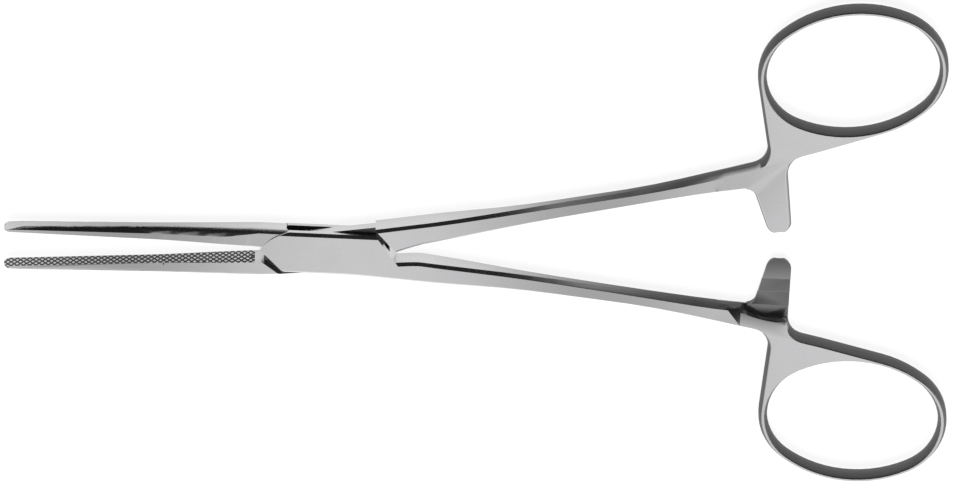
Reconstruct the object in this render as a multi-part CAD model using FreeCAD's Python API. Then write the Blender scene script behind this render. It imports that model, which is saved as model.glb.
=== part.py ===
"""Box-lock hemostat forceps, millimetres.

X runs along the instrument, jaws at -X and finger rings at +X. Z is the pivot axis, and z = 0 is the
flat underside of the lock. The origin lies on the pivot axis.

Each half is modelled closed, with its jaw above the X axis and its handle below it. The tongue half is
then turned over about the X axis, and both halves open about the pivot to their rest pose.
"""
import FreeCAD, Part
import math
import os

V = FreeCAD.Vector

# Lock
LOCK_THICKNESS = 4.2
LOCK_HALF_HEIGHT = 3.85
SLOT_HEIGHT = 1.7
SLOT_RADIUS = 8.6
PLATE_NOSE = (-10.95, -0.45)  # the plates' free corner under the upper jaw
PLATE_NOSE_FOOT = -7.6  # where the slanting edge from the nose meets the lower edge
PLATE_HEEL = (11.2, -1.15)  # the plates' free corner at the crotch of the shanks
PLATE_HEEL_TOP = 7.6  # where the slanting edge from the heel meets the upper edge
JAW_STEP_TOP = -7.0  # the curved step where the flat of the lock ends and the jaw begins
JAW_STEP_MIDDLE = (-10.2, 2.4)
JAW_STEP_FOOT = (-11.8, 0.4)
EDGE_BEVEL = 0.5  # on the long edges of lock, shank and ring

# Tongue
TONGUE_FACE_CLEARANCE = 0.05
TONGUE_END_CLEARANCE = 0.15
TONGUE_INSET = 0.1  # the tongue's edges stand this far inside the edges of the plates
TONGUE_FLARE = 2.6  # degrees by which its handle edge widens towards the shank
SHOULDER_GAP = 0.5  # between the plates' slanting edges and the shoulders, closed
NECK_GAP = 0.4  # between the tongue's necks and the side of the slot, closed
NECK_ROOT = 0.5  # how far the necks run on into jaw and shank
CROTCH = (12.6, 0.0)

# Pivot pin
PIN_RADIUS = 1.6
PIN_CLEARANCE = 0.03
PIN_HEAD_RADIUS = 1.95
PIN_HEAD_DEPTH = 0.4

# Jaws, as distances from the pivot axis
JAW_LENGTH = 55.0
JAW_ROOT = 12.2  # the gripping face ends here
JAW_START = 7.4  # the jaw's shape runs on into the lock up to here
JAW_TAPER_END = 31.0  # the width has narrowed to the tip's width here
TAPER_STEPS = 4
JAW_DEPTH_AT_ROOT = 3.2
JAW_DEPTH_AT_TIP = 0.95
JAW_WIDTH_AT_TIP = 2.9
JAW_SIDE_SHARE = 0.74  # share of the depth that is flat side, below the arched back
JAW_SIDE_DRAFT = 6.6  # degrees
JAW_SPRING = 1.06  # degrees by which each face leans, so that the tips meet first
JAW_LEAN = 1.5  # degrees between the line of the jaws and the line of the handles
JAW_TIP_RADIUS = 1.2
JAW_TIP_BACK_RADIUS = 0.75
TIP_GAP = 0.04  # between the two tips, closed

# Cross serration of the gripping faces
SERRATION_PITCH = 1.05
SERRATION_ANGLE = 50.0
SERRATION_DEPTH = 0.28
SERRATION_MARGIN = 0.5  # plain strip at the root of the gripping face
CREST_TRIM = 0.02  # what the grooves take off the crests between them

# Shank
SHANK_START = 15.5
SHANK_END = 70.0
SHANK_SECTIONS = 7
SHANK_OVERLAP = 0.3  # how far the shank runs inside the lock's end and the bow's
SHANK_INSET = 0.03  # how far it stays inside their surfaces there
SHANK_THICKNESS = 2.75
SLIM_FROM = 0.4  # share of the shank's length where it has come down to that thickness
SLIM_TO = 0.55
BOW_THICKNESS = 3.4

# Plan of the handle as (x, y, radius) corners, out along the outer edge and back along the inner one
OUTER_CORNERS = [(4, -LOCK_HALF_HEIGHT, 100), (30, -5.65, 200), (56, -8.4, 150), (74.95, -12.0, 3.5)]
INNER_CORNERS = [(84, -13.55, 30), (77.8, -12.15, 3.6)]
SHANK_CORNERS = [(71.75, -7.4, 1.8), (62, -6.55, 80), (SHANK_START, -0.75, 20)]

# Finger rings
RING_X = 89.9
RING_DROP = 28.05
RING_LENGTH = 29.1
RING_WIDTH = 22.1
RING_END_RADIUS = 9.6
RING_TILT = -4.5  # degrees
RING_WALL = 1.45

# Ratchet arm and its teeth
ARM_LEFT = 73.9
ARM_RIGHT = 77.8
ARM_TIP = 1.6  # height of the arm's tip above the X axis
ARM_TIP_RADIUS = 1.7
TOOTH_COUNT = 3
TOOTH_PITCH = 2.55
TOOTH_HEIGHT = 0.6
TOOTH_BACK = 0.2  # run of the steep side of a tooth
TOOTH_ENGAGEMENT = 0.4
FIRST_CREST_DROP = 1.9  # from the X axis down to the first crest
ROOT_STEP = [(69.4, -7.8), (73.2, -9.1), (78.4, -9.7)]

# Rest pose
REST_OPENING = 6.93  # degrees between the halves

MIDDLE = LOCK_THICKNESS / 2
SLOT_LOW = MIDDLE - SLOT_HEIGHT / 2
SLOT_HIGH = MIDDLE + SLOT_HEIGHT / 2
RING_SIDE_RADIUS = (
    (RING_LENGTH / 2 - RING_END_RADIUS) ** 2 + (RING_WIDTH / 2) ** 2 - RING_END_RADIUS**2
) / (RING_WIDTH - 2 * RING_END_RADIUS)
REACH = 20.0  # longer than any stretch that a cut in lock or ratchet has to cross
FAR = 150.0  # longer than a half reaches from the pivot


def line(a, b):
    return Part.LineSegment(V(*a), V(*b)).toShape()


def arc(a, b, c):
    return Part.Arc(V(*a), V(*b), V(*c)).toShape()


def at(point, z=0):
    return (point[0], point[1], z)


def slope(degrees):
    return math.tan(math.radians(degrees))


def polygon(points):
    return [line(a, b) for a, b in zip(points, points[1:] + points[:1])]


def prism(edges, low, high):
    """A plan outline of edges in order, extruded from low to high."""
    face = Part.Face(Part.Wire(edges))
    face.translate(V(0, 0, low))
    return face.extrude(V(0, 0, high - low))


def block(x0, x1, y0, y1, z0, z1):
    return Part.makeBox(x1 - x0, y1 - y0, z1 - z0, V(x0, y0, z0))


def rounded(corners):
    """A path through corners of (x, y, radius), each rounded off by an arc tangent to both its sides."""
    edges = []
    start = V(*at(corners[0]))
    for before, middle, after in zip(corners, corners[1:], corners[2:]):
        corner = V(*at(middle))
        back = (V(*at(before)) - corner).normalize()
        on = (V(*at(after)) - corner).normalize()
        half_angle = back.getAngle(on) / 2
        run = middle[2] / math.tan(half_angle)
        nearest = corner + (back + on).normalize() * (middle[2] / math.sin(half_angle) - middle[2])
        edges.append(line(start, corner + back * run))
        edges.append(arc(corner + back * run, nearest, corner + on * run))
        start = corner + on * run
    edges.append(line(start, V(*at(corners[-1]))))
    return edges


# Jaws


def jaw_width(distance):
    """Full lock thickness at the root, narrowing smoothly to the width of the tip."""
    share = min(max((distance - JAW_ROOT) / (JAW_TAPER_END - JAW_ROOT), 0), 1)
    eased = share * share * (3 - 2 * share)
    return LOCK_THICKNESS + (JAW_WIDTH_AT_TIP - LOCK_THICKNESS) * eased


def jaw_depth(distance):
    share = max((distance - JAW_ROOT) / (JAW_LENGTH - JAW_ROOT), 0)
    return JAW_DEPTH_AT_ROOT + (JAW_DEPTH_AT_TIP - JAW_DEPTH_AT_ROOT) * share


def jaw_section(distance):
    """Flat gripping face on y = 0, drafted sides and an arched back."""
    half = jaw_width(distance) / 2
    depth = jaw_depth(distance)
    side = depth * JAW_SIDE_SHARE
    shoulder = half - side * slope(JAW_SIDE_DRAFT)
    x = -distance
    return Part.Wire(
        [
            line((x, 0, -half), (x, 0, half)),
            line((x, 0, half), (x, side, shoulder)),
            arc((x, side, shoulder), (x, depth, 0), (x, side, -shoulder)),
            line((x, side, -shoulder), (x, 0, -half)),
        ]
    )


def tip_outline(half, radius):
    """A strip along the jaw with both corners of its far end rounded."""
    end = -JAW_LENGTH
    corners = [(0, half, 0), (end, half, radius), (end, -half, radius), (0, -half, 0)]
    return rounded(corners) + [line((0, -half, 0), (0, half, 0))]


def rounded_tip(solid):
    """Round the tip seen from the gripping side, and its back seen along the pivot axis."""
    from_face = prism(tip_outline(JAW_WIDTH_AT_TIP / 2 + CREST_TRIM, JAW_TIP_RADIUS), -REACH, REACH)
    from_face.rotate(V(0, 0, 0), V(1, 0, 0), 90)
    from_above = prism(tip_outline(JAW_DEPTH_AT_TIP, JAW_TIP_BACK_RADIUS), -REACH, REACH)
    behind_tip = 2 * JAW_TIP_RADIUS - JAW_LENGTH
    jaw_body = block(behind_tip, 0, -REACH, REACH, -REACH, REACH)
    return solid.common(from_face.common(from_above).fuse(jaw_body))


def serration(direction):
    """A comb of V grooves side by side that crosses the gripping face one way or the other."""
    half = LOCK_THICKNESS
    shift = slope(90 - SERRATION_ANGLE) * half * direction
    start = JAW_ROOT + SERRATION_MARGIN
    count = int((JAW_LENGTH - start + 2 * abs(shift)) / SERRATION_PITCH) + 2
    crest = abs(shift) - start
    comb = [(crest - shift, -1, -half), (crest - shift, CREST_TRIM, -half)]
    for i in range(count):
        x = crest - shift - i * SERRATION_PITCH
        comb.append((x - SERRATION_PITCH / 2, SERRATION_DEPTH, -half))
        comb.append((x - SERRATION_PITCH, CREST_TRIM, -half))
    comb.append((comb[-1][0], -1, -half))
    grooves = Part.Face(Part.Wire(polygon(comb))).extrude(V(2 * shift, 0, 2 * half))
    return grooves.common(block(-FAR, -start, -REACH, REACH, -REACH, REACH))


def jaw(lean):
    """A jaw with its tip on the closing line, turned by lean to the line of the jaws."""
    taper = JAW_TAPER_END - JAW_ROOT
    distances = [JAW_ROOT + taper * i / TAPER_STEPS for i in range(TAPER_STEPS + 1)]
    distances = [JAW_START] + distances + [JAW_LENGTH]
    solid = rounded_tip(Part.makeLoft([jaw_section(d) for d in distances], True, True))
    for direction in (-1, 1):
        solid = solid.cut(serration(direction))
    solid.translate(V(0, TIP_GAP / 2, MIDDLE))
    solid.rotate(V(-JAW_LENGTH, 0, 0), V(0, 0, 1), JAW_SPRING)
    solid.rotate(V(0, 0, 0), V(0, 0, 1), -lean)
    return solid


# Finger ring


def ring_arcs(wall):
    """The ring's oval as four arcs of (centre, radius, first angle, last angle), counter-clockwise."""
    end_shift = RING_LENGTH / 2 - RING_END_RADIUS
    side_shift = RING_SIDE_RADIUS - RING_WIDTH / 2
    turn = math.atan2(side_shift, end_shift)
    end = RING_END_RADIUS + wall
    side = RING_SIDE_RADIUS + wall
    return [
        ((-end_shift, 0), end, math.pi - turn, math.pi + turn),
        ((0, side_shift), side, math.pi + turn, 2 * math.pi - turn),
        ((end_shift, 0), end, -turn, turn),
        ((0, -side_shift), side, turn, math.pi - turn),
    ]


def on_ring(centre, radius, angle):
    point = V(centre[0] + radius * math.cos(angle), centre[1] + radius * math.sin(angle), 0)
    point = FreeCAD.Rotation(V(0, 0, 1), RING_TILT).multVec(point)
    return point + V(RING_X, -RING_DROP, 0)


def ring_edge(centre, radius, first, last):
    return arc(*[on_ring(centre, radius, angle) for angle in (first, (first + last) / 2, last)])


def touch_angle(corner, centre, radius, side):
    """The angle on a ring arc's circle where a straight edge from a corner touches it."""
    point = V(corner[0] - RING_X, corner[1] + RING_DROP, 0)
    point = FreeCAD.Rotation(V(0, 0, 1), -RING_TILT).multVec(point) - V(*at(centre))
    return math.atan2(point.y, point.x) + side * math.acos(radius / point.Length)


# Handle


def plan_face(before, after, lock_edges):
    """The plan of a half's lock and handle: out along the shank, round the ring and back by the arm."""
    left, bottom, right, top = ring_arcs(RING_WALL)
    first = touch_angle(OUTER_CORNERS[-1], left[0], left[1], 1)
    last = touch_angle(INNER_CORNERS[0], top[0], top[1], -1)
    leave = on_ring(left[0], left[1], first)
    back = on_ring(top[0], top[1], last)
    ring = [
        ring_edge(left[0], left[1], first, left[3]),
        ring_edge(*bottom),
        ring_edge(*right),
        ring_edge(top[0], top[1], top[2], last),
    ]
    arm = [(ARM_RIGHT, ARM_TIP, ARM_TIP_RADIUS), (ARM_LEFT, ARM_TIP, ARM_TIP_RADIUS)]
    outer = rounded([before] + OUTER_CORNERS + [(leave.x, leave.y, 0)])
    inner = rounded([(back.x, back.y, 0)] + INNER_CORNERS + arm + SHANK_CORNERS + [after])
    hole = Part.Face(Part.Wire([ring_edge(*piece) for piece in ring_arcs(0)]))
    return Part.Face(Part.Wire(outer + ring + inner + lock_edges)).cut(hole)


def slab(face, start, end, thickness):
    """The stretch of a plan from start to end, as a solid about the middle plane."""
    window = Part.makePlane(end - start, FAR, V(start, -FAR / 2, 0))
    solid = face.common(window).extrude(V(0, 0, thickness)).Solids[0]
    solid.translate(V(0, 0, MIDDLE - thickness / 2))
    return solid


def bevelled(solid, wanted):
    """Bevel those edges of the upper and lower outline whose middle is wanted."""
    chosen = []
    for edge in solid.Edges:
        level = abs(edge.valueAt(edge.FirstParameter).z - edge.valueAt(edge.LastParameter).z) < 1e-6
        if level and wanted(edge.valueAt((edge.FirstParameter + edge.LastParameter) / 2)):
            chosen.append(edge)
    return solid.makeChamfer(EDGE_BEVEL, chosen)


def shank_outline(face, x, thickness):
    """The shank cut across at x: about as wide as its plan there, with bevelled corners."""
    span = face.common(line((x, -REACH, 0), (x, 0, 0))).BoundBox
    left = span.YMin + SHANK_INSET
    right = span.YMax - SHANK_INSET
    half = thickness / 2 - SHANK_INSET
    side = half - EDGE_BEVEL
    outline = [
        (left, -side),
        (left + EDGE_BEVEL, -half),
        (right - EDGE_BEVEL, -half),
        (right, -side),
        (right, side),
        (right - EDGE_BEVEL, half),
        (left + EDGE_BEVEL, half),
        (left, side),
    ]
    return Part.Wire(polygon([(x, y, MIDDLE + z) for y, z in outline]))


def shank_thickness(share):
    """Thickness along the shank: slim in the middle, swelling to the lock and to the ratchet."""
    if share < SLIM_FROM:
        swell = (1 + math.cos(math.pi * share / SLIM_FROM)) / 2
        return SHANK_THICKNESS + (LOCK_THICKNESS - SHANK_THICKNESS) * swell
    swell = (1 - math.cos(math.pi * max(share - SLIM_TO, 0) / (1 - SLIM_TO))) / 2
    return SHANK_THICKNESS + (BOW_THICKNESS - SHANK_THICKNESS) * swell


def shank(face):
    """A smooth skin from the lock to the bow."""
    sections = []
    for i in range(SHANK_SECTIONS):
        share = i / (SHANK_SECTIONS - 1)
        x = SHANK_START + (SHANK_END - SHANK_START) * share
        sections.append(shank_outline(face, x, shank_thickness(share)))
    return Part.makeLoft(sections, True, False)


def forged_handle(face, bevelled_in_lock):
    """Lock blank, shank, ratchet arm and ring in one piece, with the long edges bevelled."""
    lock_end = SHANK_START + SHANK_OVERLAP
    bow_start = SHANK_END - SHANK_OVERLAP
    lock = slab(face, -REACH, lock_end, LOCK_THICKNESS)
    lock = bevelled(lock, lambda m: m.x < lock_end - 0.01 and bevelled_in_lock(m))
    bow = slab(face, bow_start, RING_X + RING_LENGTH, BOW_THICKNESS)
    bow = bevelled(bow, lambda m: m.x > bow_start + 0.01)
    return lock.fuse([shank(face), bow]).cut(ratchet_space())


# Ratchet


def ratchet_space():
    """What is cleared above the ratchet arm: a saw-tooth floor, up to a curved step at the arm's root."""
    crest = MIDDLE + TOOTH_ENGAGEMENT / 2
    valley = crest - TOOTH_HEIGHT
    left, step_middle, right = [at(point) for point in ROOT_STEP]
    tip = ARM_TIP + TOOTH_BACK
    far_end = right[1] - TOOTH_PITCH
    profile = [(tip, valley)]
    for i in range(TOOTH_COUNT):
        y = -FIRST_CREST_DROP - i * TOOTH_PITCH
        profile += [(y, crest), (y - TOOTH_BACK, valley)]
    profile += [(far_end, valley), (far_end, REACH), (tip, REACH)]
    floor = Part.Face(Part.Wire(polygon([(left[0], y, z) for y, z in profile])))
    floor = floor.extrude(V(right[0] - left[0], 0, 0))
    far_left = (left[0], REACH, 0)
    far_right = (right[0], REACH, 0)
    above = [line(right, far_right), line(far_right, far_left), line(far_left, left)]
    return floor.common(prism([arc(left, step_middle, right)] + above, -REACH, REACH))


# Lock


def beyond(a, b, gap):
    """Everything on the left of the line from a to b, and more than the gap away from it."""
    along = (V(*at(b)) - V(*at(a))).normalize()
    away = V(-along.y, along.x, 0)
    start = V(*at(a)) + away * gap - along * FAR
    end = V(*at(b)) + away * gap + along * FAR
    corners = [start, end, end + away * FAR, start + away * FAR]
    return prism(polygon([(p.x, p.y, 0) for p in corners]), -REACH, REACH)


def pin_shape(clearance):
    """The riveted pin, wider at both faces where it is spread into the plates."""
    r = PIN_RADIUS + clearance
    head = PIN_HEAD_RADIUS
    sink = PIN_HEAD_DEPTH
    top = LOCK_THICKNESS
    profile = [(0, 0, 0), (head, 0, 0), (r, 0, sink), (r, 0, top - sink), (head, 0, top), (0, 0, top)]
    return Part.Face(Part.Wire(polygon(profile))).revolve(V(0, 0, 0), V(0, 0, 1), 360)


def slot():
    """The way through the box: a round room about the pin, open where the other half comes in."""
    room = Part.makeCylinder(SLOT_RADIUS, SLOT_HEIGHT, V(0, 0, SLOT_LOW))
    mouth = PLATE_NOSE[1]
    jaw_side = block(-REACH, 0, -REACH, mouth, SLOT_LOW, SLOT_HIGH)
    shank_side = block(0, REACH, -mouth, REACH, SLOT_LOW, SLOT_HIGH)
    return room.fuse([jaw_side, shank_side])


def tongue():
    """The thin part that passes through the slot, from the jaw's shoulder to the shank's."""
    low = SLOT_LOW + TONGUE_FACE_CLEARANCE
    high = SLOT_HIGH - TONGUE_FACE_CLEARANCE
    edge = LOCK_HALF_HEIGHT - TONGUE_INSET
    flare = slope(TONGUE_FLARE) * REACH
    neck = NECK_GAP - PLATE_NOSE[1]
    disc = Part.makeCylinder(SLOT_RADIUS - TONGUE_END_CLEARANCE, high - low, V(0, 0, low))
    jaw_side = block(-REACH, 0, neck, REACH, low, high)
    shank_side = block(0, REACH, -REACH, -neck, low, high)
    strip = [(-REACH, edge), (REACH, edge), (REACH, -edge - flare), (0, -edge), (-REACH, -edge)]
    strip = prism(polygon([at(point) for point in strip]), -REACH, REACH)
    return disc.fuse([jaw_side, shank_side]).common(strip)


# The two halves


def box_half():
    top = LOCK_HALF_HEIGHT
    nose = at(PLATE_NOSE)
    foot = (PLATE_NOSE_FOOT, -top, 0)
    heel = at(PLATE_HEEL)
    heel_top = (PLATE_HEEL_TOP, top, 0)
    step_top = (JAW_STEP_TOP, top, 0)
    step_foot = at(JAW_STEP_FOOT)
    edges = [
        line(heel, heel_top),
        line(heel_top, step_top),
        arc(step_top, at(JAW_STEP_MIDDLE), step_foot),
        line(step_foot, nose),
        line(nose, foot),
    ]

    handle = forged_handle(plan_face(foot, heel, edges), lambda m: abs(m.y) > top - 0.01 or m.x > heel[0])
    solid = handle.fuse(jaw(JAW_LEAN))
    return solid.cut(slot().fuse(pin_shape(0))).removeSplitter()


def tongue_half():
    """Modelled with the plates' free corners mirrored, since it is turned over at the end."""
    edge = LOCK_HALF_HEIGHT
    heel = (PLATE_HEEL[0], -PLATE_HEEL[1])
    heel_top = (PLATE_HEEL_TOP, -edge)
    nose = (PLATE_NOSE[0], -PLATE_NOSE[1])
    nose_foot = (PLATE_NOSE_FOOT, edge)
    blank = [at(CROTCH), (0, edge, 0), (0, -edge, 0)]
    plan = plan_face(blank[-1], blank[0], [line(a, b) for a, b in zip(blank, blank[1:])])
    handle = forged_handle(plan, lambda m: m.y < -edge + 0.01 or m.x > CROTCH[0])
    shank_side = handle.common(beyond(heel, heel_top, SHOULDER_GAP))
    jaw_side = jaw(-JAW_LEAN).common(beyond(nose, nose_foot, SHOULDER_GAP))
    run_on = SHOULDER_GAP + NECK_ROOT
    ends = beyond(heel, heel_top, run_on).fuse(beyond(nose, nose_foot, run_on))
    solid = shank_side.fuse([jaw_side, tongue().cut(ends)]).cut(pin_shape(PIN_CLEARANCE))
    solid.rotate(V(0, 0, MIDDLE), V(1, 0, 0), 180)
    return solid.removeSplitter()


def main():
    os.makedirs("parts", exist_ok=True)
    halves = {"box_half": box_half(), "tongue_half": tongue_half(), "pivot_pin": pin_shape(0)}
    halves["box_half"].rotate(V(0, 0, 0), V(0, 0, 1), -REST_OPENING / 2)
    halves["tongue_half"].rotate(V(0, 0, 0), V(0, 0, 1), REST_OPENING / 2)
    for name, shape in halves.items():
        print(name, shape.isValid(), len(shape.Solids), len(shape.Faces), round(shape.Volume, 1))
        shape.exportStep("parts/" + name + ".step")


main()
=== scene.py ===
"""A hemostat forceps in satin steel, lying on a white floor, seen at the photograph's angle."""

import math

import bmesh
import bpy
from mathutils import Matrix, Vector


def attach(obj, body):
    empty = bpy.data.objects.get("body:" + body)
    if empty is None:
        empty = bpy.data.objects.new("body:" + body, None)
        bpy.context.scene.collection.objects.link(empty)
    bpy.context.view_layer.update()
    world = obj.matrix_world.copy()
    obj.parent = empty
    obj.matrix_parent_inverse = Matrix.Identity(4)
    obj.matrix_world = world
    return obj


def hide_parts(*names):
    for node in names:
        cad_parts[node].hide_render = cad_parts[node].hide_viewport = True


MM = 0.001

# Camera
VIEW_FROM = Vector((0.00524, 0.49997, 0.86603))
IMAGE_UP = Vector((0.00907, 0.86598, -0.5))
AIM = Vector((24.67, 0.35, 1.75)) * MM
VIEW_WIDTH = 160.5 * MM
CAMERA_DISTANCE = 2.5
SENSOR = 36.0

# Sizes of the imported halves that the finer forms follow
MIDDLE = 2.1 * MM
REST_ANGLE = math.radians(6.93 / 2)
SLOT_HALF = 0.86 * MM
SLOT_REACH = 13.5 * MM
RATCHET_REACH = 5.0 * MM
LOCK_HALF_HEIGHT = 3.85 * MM
PIN_RIM = 2.1 * MM
JAW_LENGTH = 55.0 * MM
JAW_ROOT = 12.2 * MM
JAW_TAPER_END = 31.0 * MM
JAW_TAPER_FLATS = 4
JAW_WIDTHS = (4.2 * MM, 2.9 * MM)
JAW_DEPTHS = (3.2 * MM, 0.95 * MM)
JAW_SIDE_SHARE = 0.74
JAW_SIDE_DRAFT = math.tan(math.radians(6.6))
JAW_LEAN = math.radians(1.5)
JAW_SPRING = math.radians(1.06)
TIP_GAP = 0.04 * MM
GRIP_START = 12.7 * MM
CREST = 0.02 * MM
GROOVE_DEPTH = 0.28 * MM
SHANK_START = 15.5 * MM
SHANK_END = 70.0 * MM
TOOTH_FLOOR = 1.7 * MM
LAST_TOOTH_FOOT = -7.2 * MM

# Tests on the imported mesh: lengths, and how far a unit normal points up or down
SNAP = 0.0005 * MM
WELD = 0.001 * MM
LEVEL = 0.01 * MM
FOOT_MARGIN = 0.05 * MM
STEP_RISE = 0.1 * MM
SEAM_REACH = 0.5 * MM
ARCH_MARGIN = 0.1 * MM
GROOVE_TOP = 1.1 * GROOVE_DEPTH
GRIP_LAYER = 4 * GROOVE_DEPTH
NOSE_REACH = -0.8 * JAW_LENGTH
UPRIGHT_WALL = 0.3
BEVEL_SLOPES = (0.5, 0.85)
JAW_SIDE = 0.9
TONGUE_EDGE = 0.5
TONGUE_EDGE_PLACE = 0.95 * LOCK_HALF_HEIGHT
GROOVE_WALL_FACING = (-0.97, -0.2)

# Finer forms of the steel
FLAT_ANGLE = math.radians(0.3)
SHARP_ANGLE = math.radians(30)
EDGE_SOFTENING = 0.16 * MM
CREST_SOFTENING = 0.07 * MM
BOW_SOFTENING = 0.2 * MM
BOW_TOP = -11.5 * MM
ARCH_SHARE = 0.45
ARCH_BLEND = 6.0 * MM
LAND_CUT = 0.17 * MM
TAPER_CUTS = 20
NOSE_HEIGHT = 0.3 * MM
NOSE_SLOPE = 0.22
BOW_ROUNDING = 0.65 * MM
GROOVE_SHARE = 0.45
SHANK_SOFTENING = 0.35 * MM
SEAM_STEP = 0.06 * MM
RELIEF = Vector((11.7, 0.8)) * MM
RELIEF_RADIUS = 0.45 * MM

# Tones of the steel, and painted shade in recesses, on side walls and along stretches of it
GRAIN_STRETCH = (260, 5200, 5200)
DRIFT_SCALE = 190.0
BUMP_DISTANCE = 0.01 * MM
# Painted shade in the recesses: the share of colour taken away there
RECESS_PAINTED_SHADE = 0.82
RECESS_ROUGHENING = 0.25
# Painted shade on the upright side walls towards the rings
WALL_SHADE_START = 25.0 * MM
WALL_SHADE_END = 62.0 * MM
WALL_LIMIT = 0.92
WALL_FADE = 0.4
# Painted shade along two stretches of the instrument: middle, half width and amount
PAINTED_SHADE_STRETCHES = ((0.045, 0.02, 0.36), (-0.034, 0.019, 0.4))

# Studio
FLOOR_GREY = 0.22
FLOOR_GLOW = 0.88
FLOOR_DROP = 0.05 * MM
WORLD_SPAN = (-0.35, 0.15)
WORLD_STRENGTH = (0.9, 0.02)

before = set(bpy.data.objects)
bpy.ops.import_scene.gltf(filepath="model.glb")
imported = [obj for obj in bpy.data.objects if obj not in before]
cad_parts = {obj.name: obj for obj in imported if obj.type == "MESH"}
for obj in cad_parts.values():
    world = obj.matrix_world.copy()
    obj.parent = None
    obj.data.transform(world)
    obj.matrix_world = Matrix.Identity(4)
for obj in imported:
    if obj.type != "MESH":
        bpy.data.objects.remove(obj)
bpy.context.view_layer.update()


# Shared effects


def node(tree, kind, place=(0, 0), **settings):
    made = tree.nodes.new(kind)
    made.location = place
    for name, value in settings.items():
        setattr(made, name, value)
    return made


def new_group(name, inputs, outputs):
    group = bpy.data.node_groups.new(name, "ShaderNodeTree")
    for title, kind, value in inputs:
        socket = group.interface.new_socket(title, in_out="INPUT", socket_type=kind)
        socket.default_value = value
    for title, kind in outputs:
        group.interface.new_socket(title, in_out="OUTPUT", socket_type=kind)
    return group, node(group, "NodeGroupInput", (-900, 0)), node(group, "NodeGroupOutput", (700, 0))


def maths(tree, operation, a, b, c=None, place=(0, 0)):
    """A Math node on values or sockets, and its output."""
    made = node(tree, "ShaderNodeMath", place, operation=operation)
    for socket, given in zip(made.inputs, (a, b, c)):
        if given is None:
            continue
        if isinstance(given, (int, float)):
            socket.default_value = given
        else:
            tree.links.new(given, socket)
    return made.outputs[0]


def satin_grain():
    """Fine polishing lines along the piece, broken up, with a slow drift of gloss over them."""
    group, given, out = new_group(
        "Satin grain",
        [
            ("Roughness", "NodeSocketFloat", 0.3),
            ("Spread", "NodeSocketFloat", 0.1),
            ("Height", "NodeSocketFloat", 0.05),
            ("Colour", "NodeSocketColor", (0.6, 0.6, 0.6, 1)),
            ("Colour drift", "NodeSocketFloat", 0.1),
            ("Recess", "NodeSocketFloat", 0.0),
        ],
        [("Colour", "NodeSocketColor"), ("Roughness", "NodeSocketFloat"), ("Normal", "NodeSocketVector")],
    )
    link = group.links.new
    place = node(group, "ShaderNodeTexCoord", (-1500, -300))
    stretch = node(group, "ShaderNodeMapping", (-1300, -300))
    stretch.inputs["Scale"].default_value = GRAIN_STRETCH
    lines = node(group, "ShaderNodeTexNoise", (-1100, -300))
    lines.inputs["Scale"].default_value = 1.0
    lines.inputs["Detail"].default_value = 4.0
    drift = node(group, "ShaderNodeTexNoise", (-1100, 0))
    drift.inputs["Scale"].default_value = DRIFT_SCALE
    drift.inputs["Detail"].default_value = 3.0
    link(place.outputs["Object"], stretch.inputs["Vector"])
    link(stretch.outputs["Vector"], lines.inputs["Vector"])
    link(place.outputs["Object"], drift.inputs["Vector"])
    both = maths(group, "ADD", lines.outputs["Fac"], drift.outputs["Fac"], place=(-860, -120))
    centred = maths(group, "SUBTRACT", both, 1.0, place=(-700, -120))
    gloss, spread, recess = (given.outputs[title] for title in ("Roughness", "Spread", "Recess"))
    polished = maths(group, "MULTIPLY_ADD", centred, spread, gloss, (-500, 60))
    rough = maths(group, "MULTIPLY_ADD", recess, RECESS_ROUGHENING, polished, (-300, 60))
    link(rough, out.inputs["Roughness"])
    shade = maths(group, "MULTIPLY_ADD", centred, given.outputs["Colour drift"], 1.0, (-500, 260))
    # Painted shade: the recess input darkens the colour
    dark = maths(group, "MULTIPLY_ADD", recess, -RECESS_PAINTED_SHADE, 1.0, (-500, 420))
    tint = node(group, "ShaderNodeVectorMath", (120, 260), operation="SCALE")
    link(given.outputs["Colour"], tint.inputs[0])
    link(maths(group, "MULTIPLY", shade, dark, place=(-300, 300)), tint.inputs["Scale"])
    link(tint.outputs["Vector"], out.inputs["Colour"])
    bump = node(group, "ShaderNodeBump", (120, -200))
    bump.inputs["Distance"].default_value = BUMP_DISTANCE
    link(given.outputs["Height"], bump.inputs["Strength"])
    link(lines.outputs["Fac"], bump.inputs["Height"])
    link(bump.outputs["Normal"], out.inputs["Normal"])
    return group


def painted_shade_stretch():
    """Painted shade: a stretch along the instrument where the colour is darker, to match the photograph's
    tones.
    """
    group, given, out = new_group(
        "Painted shade stretch",
        [
            ("Colour", "NodeSocketColor", (0.6, 0.6, 0.6, 1)),
            ("Middle", "NodeSocketFloat", 0.045),
            ("Half width", "NodeSocketFloat", 0.02),
            ("Amount", "NodeSocketFloat", 0.2),
        ],
        [("Colour", "NodeSocketColor")],
    )
    place = node(group, "ShaderNodeTexCoord", (-1300, -200))
    split = node(group, "ShaderNodeSeparateXYZ", (-1100, -200))
    group.links.new(place.outputs["Object"], split.inputs[0])
    away = maths(group, "SUBTRACT", split.outputs["X"], given.outputs["Middle"], place=(-900, -200))
    share = maths(group, "DIVIDE", away, given.outputs["Half width"], place=(-740, -200))
    square = maths(group, "MULTIPLY", share, share, place=(-580, -200))
    falling = maths(group, "MULTIPLY", square, -1.0, place=(-420, -200))
    bell = maths(group, "EXPONENT", falling, None, place=(-260, -200))
    loss = maths(group, "MULTIPLY", bell, given.outputs["Amount"], place=(-100, -200))
    tint = node(group, "ShaderNodeVectorMath", (260, 0), operation="SCALE")
    group.links.new(given.outputs["Colour"], tint.inputs[0])
    group.links.new(maths(group, "SUBTRACT", 1.0, loss, place=(80, -200)), tint.inputs["Scale"])
    group.links.new(tint.outputs["Vector"], out.inputs["Colour"])
    return group


GRAIN = satin_grain()
PAINTED_SHADE_STRETCH = painted_shade_stretch()


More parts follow.
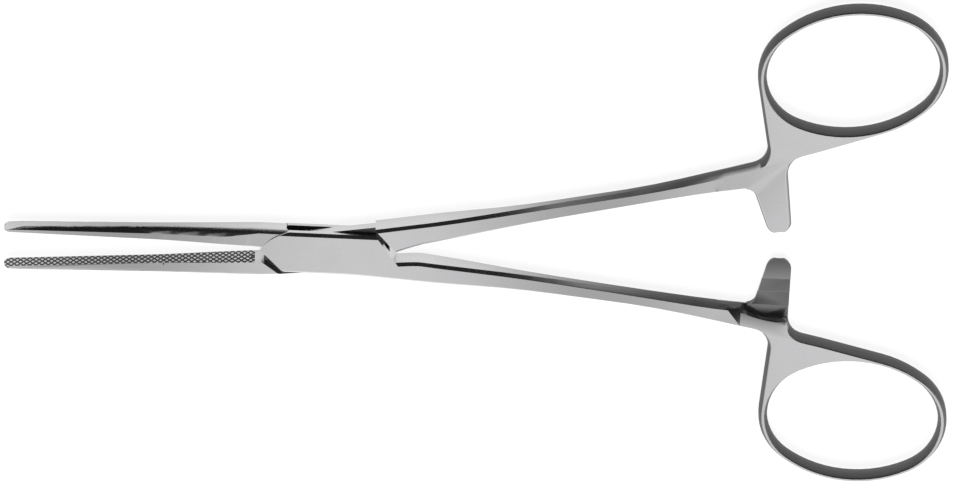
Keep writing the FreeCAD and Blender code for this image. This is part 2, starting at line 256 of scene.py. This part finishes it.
def steel(name, colour, roughness, spread, height, drift):
    material = bpy.data.materials.new(name)
    material.use_nodes = True
    tree = material.node_tree
    shader = tree.nodes["Principled BSDF"]
    shader.inputs["Metallic"].default_value = 1.0
    # Painted shade: the recess and wall masks darken the colour; they also roughen the steel
    recess = node(tree, "ShaderNodeAttribute", (-820, 100), attribute_name="recess")
    wall = node(tree, "ShaderNodeAttribute", (-820, -100), attribute_name="wall")
    darker = maths(tree, "MAXIMUM", recess.outputs["Fac"], wall.outputs["Fac"], place=(-620, 0))
    grain = node(tree, "ShaderNodeGroup", (-420, 200), node_tree=GRAIN)
    grain.inputs["Roughness"].default_value = roughness
    grain.inputs["Spread"].default_value = spread
    grain.inputs["Height"].default_value = height
    grain.inputs["Colour"].default_value = (*colour, 1)
    grain.inputs["Colour drift"].default_value = drift
    tree.links.new(darker, grain.inputs["Recess"])
    tint = grain.outputs["Colour"]
    # Painted shade along stretches of the instrument
    for i, (middle, half_width, amount) in enumerate(PAINTED_SHADE_STRETCHES):
        painted_stretch = node(tree, "ShaderNodeGroup", (-220 + 160 * i, 420 - 100 * i), node_tree=PAINTED_SHADE_STRETCH)
        painted_stretch.inputs["Middle"].default_value = middle
        painted_stretch.inputs["Half width"].default_value = half_width
        painted_stretch.inputs["Amount"].default_value = amount
        tree.links.new(tint, painted_stretch.inputs["Colour"])
        tint = painted_stretch.outputs["Colour"]
    tree.links.new(tint, shader.inputs["Base Color"])
    tree.links.new(grain.outputs["Roughness"], shader.inputs["Roughness"])
    tree.links.new(grain.outputs["Normal"], shader.inputs["Normal"])
    return material


SATIN_STEEL = steel("Satin steel", (0.66, 0.66, 0.67), 0.27, 0.12, 0.5, 0.12)
PIN_STEEL = steel("Pin steel", (0.65, 0.65, 0.66), 0.275, 0.12, 0.5, 0.12)


# Where things are


def drawn(turned_over):
    """From the rest pose to the half as it is drawn: closed, with its jaw above the X axis."""
    if not turned_over:
        return Matrix.Rotation(REST_ANGLE, 4, "Z")
    over = Matrix.Translation((0, 0, 2 * MIDDLE)) @ Matrix.Rotation(math.pi, 4, "X")
    return over @ Matrix.Rotation(-REST_ANGLE, 4, "Z")


def on_grip(lean):
    """From the half as drawn to its jaw's own frame: gripping face on y = 0, middle plane on z = 0."""
    tip = Matrix.Translation((-JAW_LENGTH, 0, 0))
    spring = tip @ Matrix.Rotation(-JAW_SPRING, 4, "Z") @ tip.inverted()
    return Matrix.Translation((0, -TIP_GAP / 2, -MIDDLE)) @ spring @ Matrix.Rotation(lean, 4, "Z")


# Cutters


def crotch_relief(bm):
    """A small round notch where the shoulder meets the crotch of the shanks."""
    turn = Matrix.Translation((*RELIEF, MIDDLE))
    bmesh.ops.create_cone(
        bm,
        cap_ends=True,
        segments=32,
        radius1=RELIEF_RADIUS,
        radius2=RELIEF_RADIUS,
        depth=4 * MIDDLE,
        matrix=turn,
    )


def carved(mesh, shape_cutter, place):
    """The mesh less a cutter, which is given in the frame of the half as drawn."""
    bm = bmesh.new()
    shape_cutter(bm)
    bm.transform(place.inverted())
    bmesh.ops.recalc_face_normals(bm, faces=bm.faces)
    cutter_mesh = bpy.data.meshes.new("cutter")
    bm.to_mesh(cutter_mesh)
    bm.free()
    cutter = bpy.data.objects.new("cutter", cutter_mesh)
    blank = bpy.data.objects.new("blank", mesh)
    for piece in (cutter, blank):
        bpy.context.scene.collection.objects.link(piece)
    carve = blank.modifiers.new("Carve", "BOOLEAN")
    carve.operation = "DIFFERENCE"
    carve.solver = "EXACT"
    carve.object = cutter
    graph = bpy.context.evaluated_depsgraph_get()
    result = bpy.data.meshes.new_from_object(blank.evaluated_get(graph), depsgraph=graph)
    for piece in (cutter, blank):
        bpy.data.objects.remove(piece)
    return result


# The finer forms


def score(bm, faces, place, normal):
    """Cut faces along a plane, leaving all of them in place."""
    parts = set(faces)
    for face in faces:
        parts.update(face.edges, face.verts)
    bmesh.ops.bisect_plane(bm, geom=list(parts), dist=SNAP, plane_co=place, plane_no=normal)


def jaw_faces(bm):
    return [f for f in bm.faces if f.calc_center_median().x < -JAW_ROOT]


def eased(share):
    return share * share * (3 - 2 * share)


def smooth_taper(bm):
    """The jaw's sides narrow in one curve instead of a few flats."""
    stretch = JAW_TAPER_END - JAW_ROOT
    for i in range(1, TAPER_CUTS):
        score(bm, jaw_faces(bm), (-JAW_ROOT - stretch * i / TAPER_CUTS, 0, 0), (1, 0, 0))
    root, tip = JAW_WIDTHS
    for vert in bm.verts:
        share = (-vert.co.x - JAW_ROOT) / stretch
        if 0 < share < 1:
            before = int(share * JAW_TAPER_FLATS) / JAW_TAPER_FLATS
            after = before + 1 / JAW_TAPER_FLATS
            part = (share - before) * JAW_TAPER_FLATS
            ruled = eased(before) * (1 - part) + eased(after) * part
            vert.co.z *= (root + (tip - root) * eased(share)) / (root + (tip - root) * ruled)


def arched_back(bm):
    """The back of the jaw is an elliptical arch that springs from lower on its sides."""
    for vert in bm.verts:
        along = -vert.co.x - JAW_ROOT
        depth = JAW_DEPTHS[0] + (JAW_DEPTHS[1] - JAW_DEPTHS[0]) * along / (JAW_LENGTH - JAW_ROOT)
        side = depth * JAW_SIDE_SHARE
        if along < 0 or vert.co.y < side - ARCH_MARGIN:
            continue
        root, tip = JAW_WIDTHS
        half = (root + (tip - root) * eased(min(along / (JAW_TAPER_END - JAW_ROOT), 1))) / 2
        spring = depth * ARCH_SHARE
        share = min(abs(vert.co.z) / (half - side * JAW_SIDE_DRAFT), 1)
        blend = min(along / ARCH_BLEND, 1)
        height = spring + (depth - spring) * math.sqrt(1 - share**2)
        vert.co.y += (height - vert.co.y) * blend
        width = share * (half - spring * JAW_SIDE_DRAFT)
        vert.co.z += (math.copysign(width, vert.co.z) - vert.co.z) * blend


def flat_lands(bm):
    """Flat tops between narrower grooves, pressed out of the pointed crests and closed at the sides."""
    grip = [f for f in jaw_faces(bm) if f.calc_center_median().y < GRIP_LAYER]
    score(bm, grip, (0, LAND_CUT, 0), (0, 1, 0))
    bm.normal_update()
    for vert in bm.verts:
        if vert.co.x < SNAP - GRIP_START and SNAP < vert.co.y < GROOVE_TOP:
            at_side = any(abs(f.normal.z) > JAW_SIDE for f in vert.link_faces)
            depth = 0 if at_side else max(vert.co.y - LAND_CUT, 0)
            vert.co.y = CREST + depth * GROOVE_SHARE / (1 - LAND_CUT / GROOVE_DEPTH)


def sloped_nose(bm):
    """The back slopes down to the tip."""
    normal = Vector((-NOSE_SLOPE, 1, 0)).normalized()
    near_tip = [f for f in jaw_faces(bm) if min(v.co.x for v in f.verts) < NOSE_REACH]
    score(bm, near_tip, (-JAW_LENGTH, NOSE_HEIGHT, 0), normal)
    for vert in bm.verts:
        top = NOSE_HEIGHT + (vert.co.x + JAW_LENGTH) * NOSE_SLOPE
        if vert.co.x < NOSE_REACH and vert.co.y > top:
            vert.co.y = top


def ratchet_ramp(bm):
    """Behind the last tooth the arm rises to its flat in a ramp, instead of a curved upright step."""
    floor = []
    for face in bm.faces:
        centre = face.calc_center_median()
        level = max(abs(v.co.z - TOOTH_FLOOR) for v in face.verts) < LEVEL
        if level and centre.y < LAST_TOOTH_FOOT and centre.x > SHANK_START:
            floor.append(face)
    bmesh.ops.triangulate(bm, faces=floor)
    raised = {}
    for vert in bm.verts:
        if abs(vert.co.z - TOOTH_FLOOR) < LEVEL and vert.co.y < LAST_TOOTH_FOOT - FOOT_MARGIN:
            for other in (edge.other_vert(vert) for edge in vert.link_edges):
                if other.co.z > vert.co.z + STEP_RISE and (other.co - vert.co).xy.length < LEVEL:
                    raised[vert] = other.co.z
    for vert, height in raised.items():
        vert.co.z = height
    bmesh.ops.remove_doubles(bm, verts=bm.verts, dist=WELD)


def closed_seams(bm):
    """Close the small steps between shank, lock and bow."""
    for end in (SHANK_START, SHANK_END):
        near = [v for v in bm.verts if abs(v.co.x - end) < SEAM_REACH]
        bmesh.ops.remove_doubles(bm, verts=near, dist=SEAM_STEP)


def rounder_bow(bm):
    """The bevels of the shank reach further down its sides towards the rings, where the section is round."""
    lower = set()
    for edge in bm.edges:
        if len(edge.link_faces) != 2 or min(v.co.x for v in edge.verts) < SHANK_START:
            continue
        side, bevel = sorted((abs(f.normal.z) for f in edge.link_faces))
        if side < UPRIGHT_WALL and BEVEL_SLOPES[0] < bevel < BEVEL_SLOPES[1]:
            lower.update(edge.verts)
    for vert in lower:
        share = min((vert.co.x - SHANK_START) / (SHANK_END - SHANK_START), 1)
        vert.co.z -= math.copysign(BOW_ROUNDING * share, vert.co.z - MIDDLE)


def mark_recesses(bm, to_grip):
    """Darken the faces inside the lock and the walls of the grooves with painted shade, and make them
    rougher.
    """
    recess = bm.faces.layers.float.new("recess")
    steepest, shallowest = GROOVE_WALL_FACING
    for face in bm.faces:
        centre = face.calc_center_median()
        between_plates = max(abs(v.co.z - MIDDLE) for v in face.verts) < SLOT_HALF
        in_slot = between_plates and abs(centre.x) < SLOT_REACH
        edge_of_tongue = abs(face.normal.z) < TONGUE_EDGE and abs(centre.y) > TONGUE_EDGE_PLACE
        facing = (to_grip.to_3x3() @ face.normal).y
        near_grip = max((to_grip @ v.co).y for v in face.verts) < GROOVE_TOP
        in_groove = (to_grip @ centre).x < -GRIP_START and near_grip
        if (in_slot and not edge_of_tongue) or (in_groove and steepest < facing < shallowest):
            face[recess] = 1.0


def shade_walls(bm):
    """Painted shade: darken the side walls towards the rings, to match the photograph's tones; they are also
    made rougher.
    """
    bm.normal_update()
    # The wall mask: painted shade, strongest on upright faces near the rings
    wall = bm.verts.layers.float.new("wall")
    for vert in bm.verts:
        along = (vert.co.x - WALL_SHADE_START) / (WALL_SHADE_END - WALL_SHADE_START)
        upright = (WALL_LIMIT - abs(vert.normal.z)) / WALL_FADE
        vert[wall] = eased(min(max(along, 0), 1)) * eased(min(max(upright, 0), 1))


def soften(bm, edges, offset, segments, clamp=False):
    bmesh.ops.bevel(
        bm,
        geom=edges,
        offset=offset,
        offset_type="OFFSET",
        segments=segments,
        profile=0.5,
        affect="EDGES",
        clamp_overlap=clamp,
        material=-1,
    )


def hard_edges(bm, wanted):
    hard = [e for e in bm.edges if len(e.link_faces) == 2 and e.calc_face_angle() > SHARP_ANGLE]
    return [e for e in hard if wanted((e.verts[0].co + e.verts[1].co) / 2)]


def soften_parts(bm):
    """Each part of the half apart. Without clamping on the shank, spikes grow at its seam with the bow."""
    arm_end = SHANK_END + 2 * RATCHET_REACH
    on_shank = hard_edges(bm, lambda m: SHANK_START < m.x < SHANK_END - RATCHET_REACH)
    soften(bm, on_shank, SHANK_SOFTENING, 4, clamp=True)
    on_bow = hard_edges(bm, lambda m: m.x > arm_end or (m.x > SHANK_END and m.y < BOW_TOP))
    soften(bm, on_bow, BOW_SOFTENING, 3)
    on_arm = hard_edges(
        bm, lambda m: abs(m.x - SHANK_END - RATCHET_REACH) < RATCHET_REACH and m.y > LAST_TOOTH_FOOT
    )
    crests = [e for e in on_arm if e.is_convex and abs(e.verts[0].co.y - e.verts[1].co.y) < LEVEL]
    soften(bm, crests, CREST_SOFTENING, 2)
    in_lock = hard_edges(bm, lambda m: -JAW_ROOT < m.x < SHANK_START and m.xy.length > PIN_RIM)
    soften(bm, in_lock, EDGE_SOFTENING, 3, clamp=True)


def merged(source):
    """The node's surface as one closed mesh, with its flats whole."""
    bm = bmesh.new()
    bm.from_mesh(source.data)
    bmesh.ops.remove_doubles(bm, verts=bm.verts, dist=WELD)
    bmesh.ops.dissolve_limit(bm, angle_limit=FLAT_ANGLE, verts=bm.verts, edges=bm.edges)
    mesh = bpy.data.meshes.new(source.name + "_merged")
    bm.to_mesh(mesh)
    bm.free()
    return mesh


def finished(bm, name, material):
    mesh = bpy.data.meshes.new(name)
    bm.to_mesh(mesh)
    bm.free()
    mesh.materials.append(material)
    mesh.shade_smooth()
    mesh.set_sharp_from_angle(angle=SHARP_ANGLE)
    piece = bpy.data.objects.new(name, mesh)
    bpy.context.scene.collection.objects.link(piece)
    flats = piece.modifiers.new("Even flats", "WEIGHTED_NORMAL")
    flats.keep_sharp = True
    return piece


def dressed_half(source, name, turned_over):
    place = drawn(turned_over)
    to_grip = on_grip(-JAW_LEAN if turned_over else JAW_LEAN)
    mesh = merged(source)
    if turned_over:
        mesh = carved(mesh, crotch_relief, place)
    bm = bmesh.new()
    bm.from_mesh(mesh)
    bm.transform(place)
    bmesh.ops.remove_doubles(bm, verts=bm.verts, dist=WELD)
    closed_seams(bm)
    rounder_bow(bm)
    ratchet_ramp(bm)
    bm.transform(to_grip)
    smooth_taper(bm)
    arched_back(bm)
    flat_lands(bm)
    sloped_nose(bm)
    bm.transform(to_grip.inverted())
    bmesh.ops.dissolve_degenerate(bm, dist=SNAP, edges=bm.edges)
    bm.normal_update()
    mark_recesses(bm, to_grip)
    soften_parts(bm)
    bmesh.ops.remove_doubles(bm, verts=bm.verts, dist=SNAP)
    bmesh.ops.dissolve_degenerate(bm, dist=SNAP, edges=bm.edges)
    shade_walls(bm)
    bm.transform(place.inverted())
    return finished(bm, name, SATIN_STEEL)


def dressed_pin(source, name):
    bm = bmesh.new()
    bm.from_mesh(merged(source))
    return finished(bm, name, PIN_STEEL)


box = dressed_half(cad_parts["box_half"], "box_half_steel", False)
tongue = dressed_half(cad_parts["tongue_half"], "tongue_half_steel", True)
pin = dressed_pin(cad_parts["pivot_pin"], "pivot_pin_steel")
for piece, source, body in (
    (box, "box_half", "box_body"),
    (tongue, "tongue_half", "tongue_body"),
    (pin, "pivot_pin", "box_body"),
):
    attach(piece, body)
    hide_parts(source)


# Floor, light and camera


def studio_floor():
    mesh = bpy.data.meshes.new("floor")
    bm = bmesh.new()
    bmesh.ops.create_grid(bm, x_segments=1, y_segments=1, size=3.0)
    bm.to_mesh(mesh)
    bm.free()
    floor = bpy.data.objects.new("floor", mesh)
    floor.location.z = -FLOOR_DROP
    bpy.context.scene.collection.objects.link(floor)
    material = bpy.data.materials.new("White floor")
    material.use_nodes = True
    tree = material.node_tree
    shader = tree.nodes["Principled BSDF"]
    shader.inputs["Base Color"].default_value = (FLOOR_GREY, FLOOR_GREY, FLOOR_GREY, 1)
    shader.inputs["Roughness"].default_value = 1.0
    shader.inputs["Specular IOR Level"].default_value = 0.0
    path = node(tree, "ShaderNodeLightPath", (-500, 300))
    camera_ray, glossy_ray = path.outputs["Is Camera Ray"], path.outputs["Is Glossy Ray"]
    seen = maths(tree, "MAXIMUM", camera_ray, glossy_ray, place=(-300, 300))
    glow = maths(tree, "MULTIPLY", seen, FLOOR_GLOW, place=(-120, 300))
    shader.inputs["Emission Color"].default_value = (1, 1, 1, 1)
    tree.links.new(glow, shader.inputs["Emission Strength"])
    mesh.materials.append(material)
    return floor


studio_floor()


def studio_world():
    """Light from above and behind the lower edge of the picture, dark round the camera."""
    world = bpy.data.worlds.new("Studio")
    bpy.context.scene.world = world
    world.use_nodes = True
    tree = world.node_tree
    background = tree.nodes["Background"]
    way = node(tree, "ShaderNodeTexCoord", (-900, 0))
    split = node(tree, "ShaderNodeSeparateXYZ", (-700, 0))
    tree.links.new(way.outputs["Generated"], split.inputs[0])
    ramp = node(tree, "ShaderNodeMapRange", (-480, 0), interpolation_type="SMOOTHSTEP")
    ramp.inputs["From Min"].default_value, ramp.inputs["From Max"].default_value = WORLD_SPAN
    ramp.inputs["To Min"].default_value, ramp.inputs["To Max"].default_value = WORLD_STRENGTH
    tree.links.new(split.outputs["Y"], ramp.inputs["Value"])
    tree.links.new(ramp.outputs["Result"], background.inputs["Strength"])
    background.inputs["Color"].default_value = (1, 1, 1, 1)


studio_world()


def softbox(name, place, aim, size, power):
    light = bpy.data.lights.new(name, "AREA")
    light.shape = "RECTANGLE"
    light.size, light.size_y = size
    light.energy = power
    lamp = bpy.data.objects.new(name, light)
    lamp.location = place
    lamp.rotation_euler = (Vector(aim) - Vector(place)).to_track_quat("-Z", "Y").to_euler()
    lamp.visible_glossy = False
    bpy.context.scene.collection.objects.link(lamp)
    return lamp


softbox("overhead softbox", (0.0, -0.3, 1.0), (0.02, 0, 0), (1.2, 0.8), 9.0)


def photo_camera():
    right = IMAGE_UP.cross(VIEW_FROM).normalized()
    up = VIEW_FROM.cross(right).normalized()
    turn = Matrix((right, up, VIEW_FROM.normalized())).transposed()
    data = bpy.data.cameras.new("camera")
    data.sensor_width = SENSOR
    data.lens = SENSOR * CAMERA_DISTANCE / VIEW_WIDTH
    data.clip_start = 0.1
    data.clip_end = 10.0
    camera = bpy.data.objects.new("camera", data)
    camera.matrix_world = Matrix.Translation(AIM + VIEW_FROM * CAMERA_DISTANCE) @ turn.to_4x4()
    bpy.context.scene.collection.objects.link(camera)
    bpy.context.scene.camera = camera


photo_camera()
bpy.context.scene.view_settings.view_transform = "Standard"
